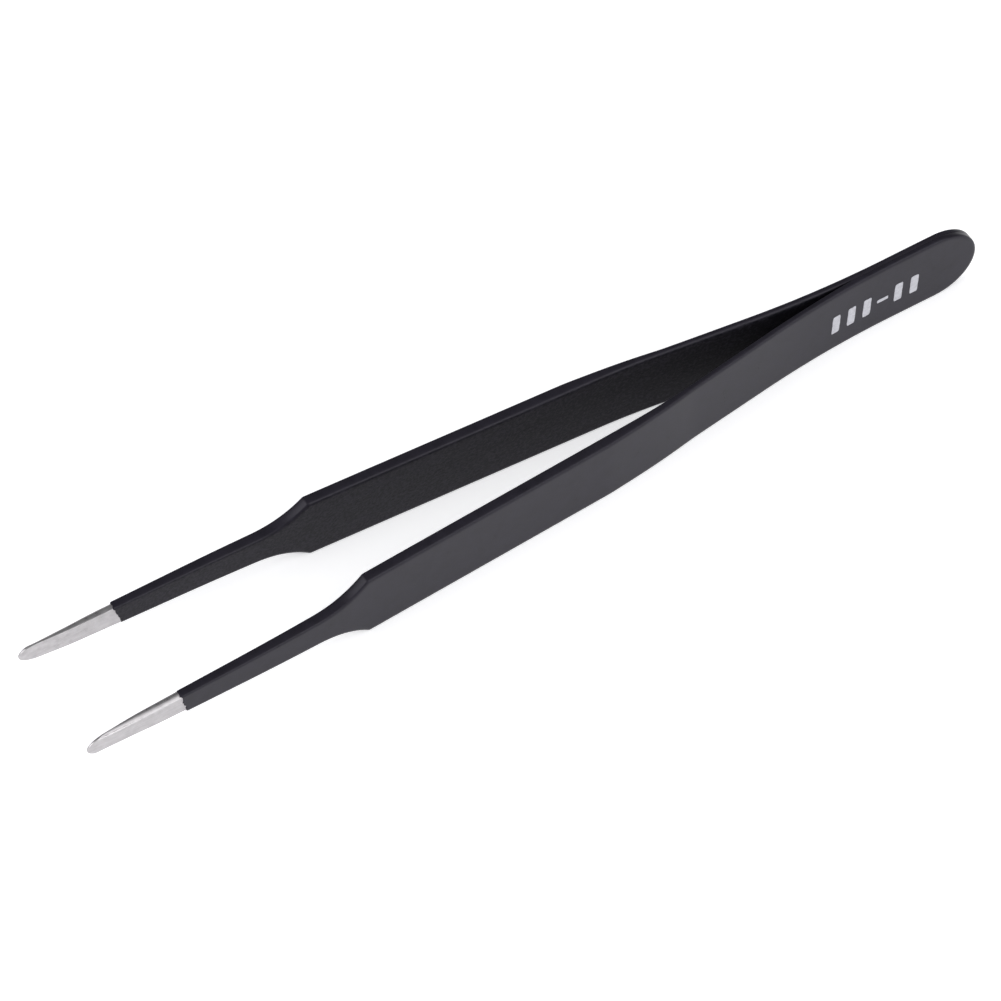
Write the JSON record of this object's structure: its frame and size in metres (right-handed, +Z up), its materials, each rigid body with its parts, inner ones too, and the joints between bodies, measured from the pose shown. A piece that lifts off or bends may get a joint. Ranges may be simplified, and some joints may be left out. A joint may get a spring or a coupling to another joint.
{
  "type": "precision tweezers",
  "caption": "Straight precision tweezers: two sprung steel arms welded at the tail, black static-safe coating, slim necks and bare rounded tips.",
  "frame": {"origin": "on the surface that the tweezers stand on, under the middle of their box", "axes": "+X along the arms to the tips, +Y to the left arm, +Z up; the arms stand on their lower edges"},
  "size_m": [0.12, 0.0154, 0.0095],
  "materials": {
    "steel": "ground satin stainless steel",
    "coating": "black satin epoxy, finely textured on the inner faces",
    "print": "flat white pad print"
  },
  "bodies": {
    "tail": {"left_arm_root": "steel", "right_arm_root": "steel", "spot_welds": "steel", "tail_coating": "coating", "printed_mark": "print"},
    "left_arm": {"left_arm_blade": "steel", "left_coating": "coating"},
    "right_arm": {"right_arm_blade": "steel", "right_coating": "coating"}
  },
  "joints": [
    {"name": "left_flex", "type": "hinge", "parent": "tail", "child": "left_arm", "pos_m": [-0.02995, 0.00128, 0.00475], "axis": [0, 0, -1], "range_deg": [0, 4.6], "stiffness_Nm_per_rad": 1.2},
    {"name": "right_flex", "type": "hinge", "parent": "tail", "child": "right_arm", "pos_m": [-0.02995, -0.00128, 0.00475], "axis": [0, 0, 1], "range_deg": [0, 4.6], "stiffness_Nm_per_rad": 1.2}
  ],
  "couplings": [
    {"joint": "right_flex", "follows": "left_flex", "ratio": 1}
  ]
}
